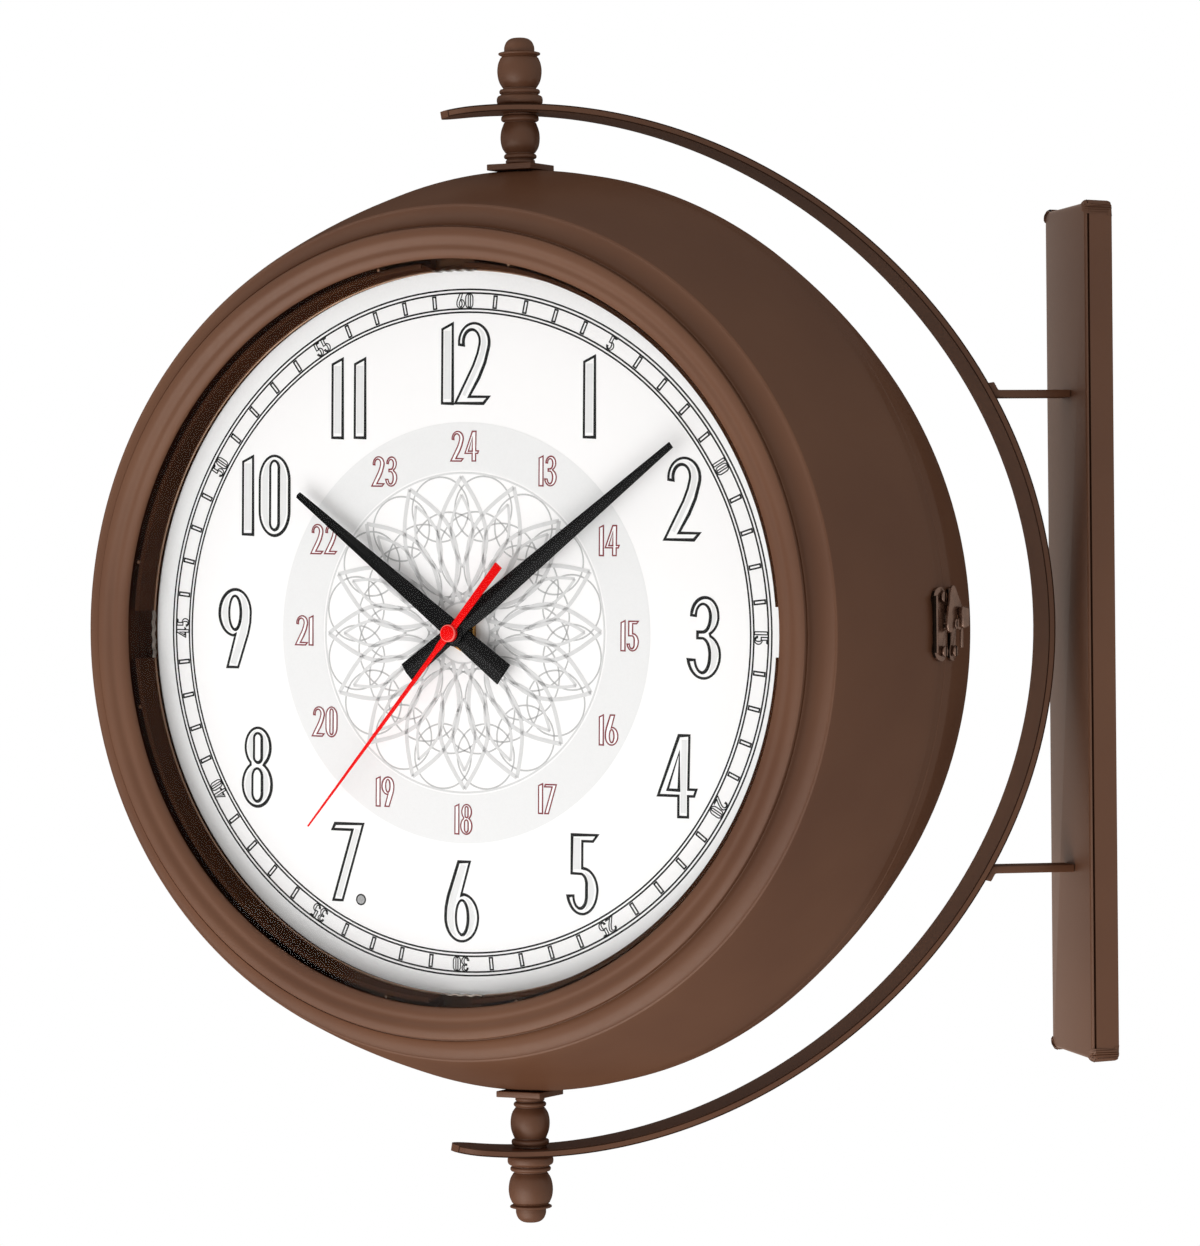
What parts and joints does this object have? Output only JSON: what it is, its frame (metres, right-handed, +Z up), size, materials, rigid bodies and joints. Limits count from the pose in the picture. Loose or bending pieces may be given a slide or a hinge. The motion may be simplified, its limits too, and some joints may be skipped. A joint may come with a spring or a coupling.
{
  "type": "double sided station clock",
  "caption": "Round two-faced clock head with battery movements, swivelling on turned pivots inside a semicircular flat-bar arc on a tall wall channel; one face opens as a hinged door.",
  "frame": {"origin": "on the back face of the wall plate, on its centre line, level with the middle of the clock head", "axes": "+X into the wall, +Z up, -Y towards the side the front dial mostly faces; the head's pivot line is vertical at x = -249.6 mm"},
  "size_m": [0.4286, 0.3228, 0.5002],
  "materials": {
    "bronze_paint": "satin bronze-brown paint",
    "dark_moulding": "satin dark brown moulding",
    "dial_print": "matt white print",
    "clear_glass": "clear flat glass",
    "black_paint": "satin black paint",
    "red_paint": "satin red paint",
    "antique_brass": "aged, dull",
    "brass": "bright, turned",
    "plain_steel": "zinc-plated",
    "black_plastic": "fine-grained",
    "white_nylon": "plain",
    "cell_sleeve": "printed sleeve, no text"
  },
  "bodies": {
    "bracket": {"wall_plate": "plain_steel", "back_channel": "bronze_paint", "bracket_arc": "bronze_paint", "strut_upper": "bronze_paint", "strut_lower": "bronze_paint", "pivot_bush_top": "white_nylon", "pivot_bush_bottom": "white_nylon"},
    "head": {"finial_top": "bronze_paint", "finial_bottom": "bronze_paint", "baluster_top": "bronze_paint", "baluster_bottom": "bronze_paint", "pivot_plate_top": "bronze_paint", "pivot_plate_bottom": "bronze_paint", "pivot_doubler_top": "plain_steel", "pivot_doubler_bottom": "plain_steel", "spindle_top": "plain_steel", "spindle_bottom": "plain_steel", "spindle_nut_top": "plain_steel", "spindle_nut_bottom": "plain_steel", "rear_case": "bronze_paint", "rear_lens": "clear_glass", "rear_lens_ring": "dark_moulding", "rear_dial": "dial_print", "rear_dial_support": "plain_steel", "rear_movement": "black_plastic", "rear_movement_nut": "brass", "rear_battery": "cell_sleeve", "hinge_leaf_rear": "bronze_paint", "latch_plate_rear": "antique_brass", "latch_screw_rear_upper": "antique_brass", "latch_screw_rear_lower": "antique_brass", "hinge_pin": "plain_steel"},
    "door": {"front_case": "bronze_paint", "front_lens": "clear_glass", "front_lens_ring": "dark_moulding", "front_dial": "dial_print", "front_dial_support": "plain_steel", "front_movement": "black_plastic", "front_movement_nut": "brass", "front_battery": "cell_sleeve", "hinge_leaf_front": "bronze_paint", "latch_plate_front": "antique_brass", "latch_screw_front_upper": "antique_brass", "latch_screw_front_lower": "antique_brass"},
    "hook": {"latch_hook": "antique_brass"},
    "front_minute": {"front_minute_hand": "black_paint"},
    "front_hour": {"front_hour_hand": "black_paint"},
    "front_second": {"front_second_hand": "red_paint"},
    "front_knob": {"front_set_knob": "white_nylon"},
    "rear_minute": {"rear_minute_hand": "black_paint"},
    "rear_hour": {"rear_hour_hand": "black_paint"},
    "rear_second": {"rear_second_hand": "red_paint"},
    "rear_knob": {"rear_set_knob": "white_nylon"}
  },
  "joints": [
    {"name": "head_swivel", "type": "hinge", "parent": "bracket", "child": "head", "pos_m": [-0.2496, 0, 0], "axis": [0, 0, 1], "continuous": true},
    {"name": "front_door", "type": "hinge", "parent": "head", "child": "door", "pos_m": [-0.40433, 0.12194, 0], "axis": [0, 0, -1], "range_deg": [0, 100]},
    {"name": "latch_turn", "type": "hinge", "parent": "head", "child": "hook", "pos_m": [-0.09351, -0.12021, 0.0022], "axis": [-0.7854, 0.619, 0], "range_deg": [0, 90]},
    {"name": "front_minute_turn", "type": "hinge", "parent": "door", "child": "front_minute", "pos_m": [-0.28674, -0.04713, 0], "axis": [0.619, 0.7854, 0], "continuous": true},
    {"name": "front_hour_turn", "type": "hinge", "parent": "door", "child": "front_hour", "pos_m": [-0.28674, -0.04713, 0], "axis": [0.619, 0.7854, 0], "continuous": true},
    {"name": "front_second_turn", "type": "hinge", "parent": "door", "child": "front_second", "pos_m": [-0.28674, -0.04713, 0], "axis": [0.619, 0.7854, 0], "continuous": true},
    {"name": "front_knob_turn", "type": "hinge", "parent": "door", "child": "front_knob", "pos_m": [-0.27126, -0.02749, 0.01], "axis": [0.619, 0.7854, 0], "continuous": true},
    {"name": "rear_minute_turn", "type": "hinge", "parent": "head", "child": "rear_minute", "pos_m": [-0.21246, 0.04713, 0], "axis": [-0.619, -0.7854, 0], "continuous": true},
    {"name": "rear_hour_turn", "type": "hinge", "parent": "head", "child": "rear_hour", "pos_m": [-0.21246, 0.04713, 0], "axis": [-0.619, -0.7854, 0], "continuous": true},
    {"name": "rear_second_turn", "type": "hinge", "parent": "head", "child": "rear_second", "pos_m": [-0.21246, 0.04713, 0], "axis": [-0.619, -0.7854, 0], "continuous": true},
    {"name": "rear_knob_turn", "type": "hinge", "parent": "head", "child": "rear_knob", "pos_m": [-0.22794, 0.02749, 0.01], "axis": [-0.619, -0.7854, 0], "continuous": true}
  ],
  "couplings": [
    {"joint": "front_hour_turn", "follows": "front_minute_turn", "ratio": 0.083333},
    {"joint": "front_second_turn", "follows": "front_minute_turn", "ratio": 60},
    {"joint": "front_knob_turn", "follows": "front_minute_turn", "ratio": 3},
    {"joint": "rear_hour_turn", "follows": "rear_minute_turn", "ratio": 0.083333},
    {"joint": "rear_second_turn", "follows": "rear_minute_turn", "ratio": 60},
    {"joint": "rear_knob_turn", "follows": "rear_minute_turn", "ratio": 3}
  ]
}
